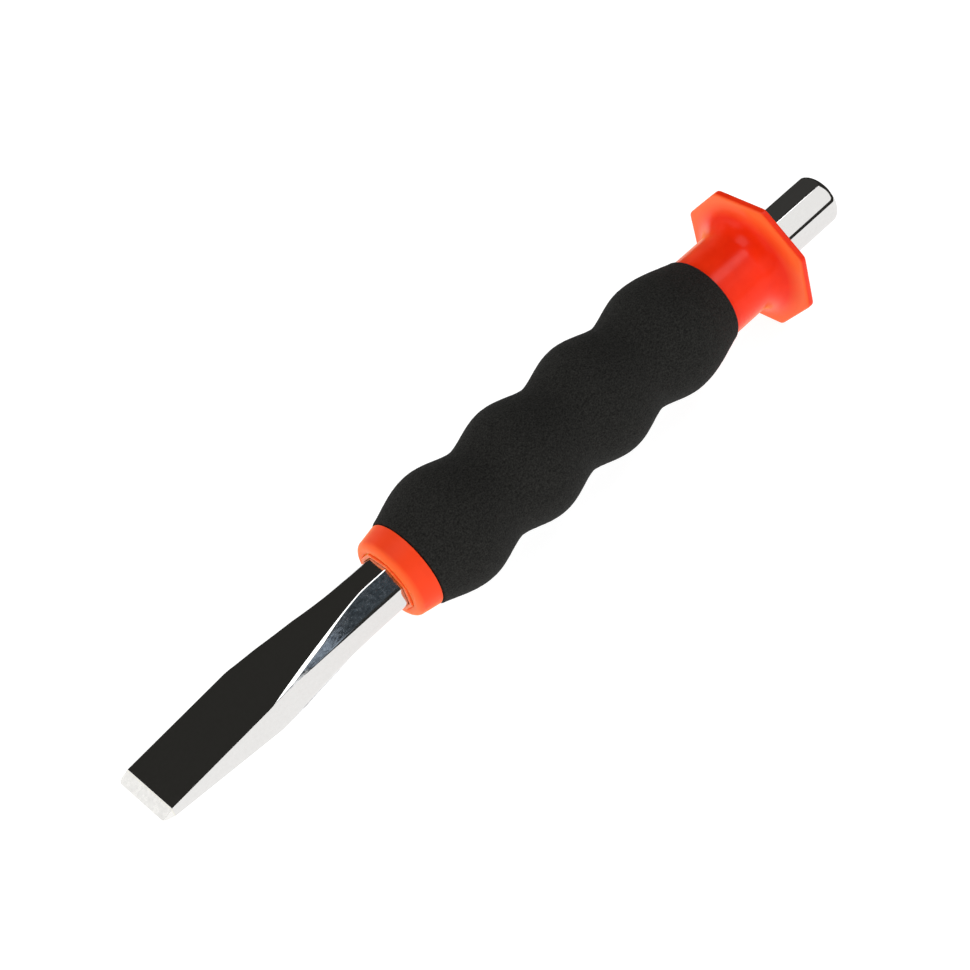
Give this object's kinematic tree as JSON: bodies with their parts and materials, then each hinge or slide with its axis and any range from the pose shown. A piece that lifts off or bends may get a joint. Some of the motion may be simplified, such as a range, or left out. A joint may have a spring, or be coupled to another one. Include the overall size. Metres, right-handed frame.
{
  "type": "cold chisel",
  "caption": "Cold chisel of octagonal chromed steel with a flat blade, a waved foam grip and an octagonal plastic hand guard.",
  "frame": {"origin": "centre of the flat striking face at the head end of the bar", "axes": "+X along the tool, out of the striking face and away from the cutting edge; +Z square to the blade's flat faces; -Z is towards the guard's flat that the tool rests on"},
  "size_m": [0.3, 0.0486, 0.0486],
  "materials": {
    "chromed_steel": "polished",
    "orange_plastic": "satin",
    "black_foam": "matte"
  },
  "bodies": {
    "root": {"chisel_bar": "chromed_steel", "guard_sleeve": "orange_plastic", "front_collar": "orange_plastic", "foam_grip": "black_foam"}
  },
  "joints": []
}
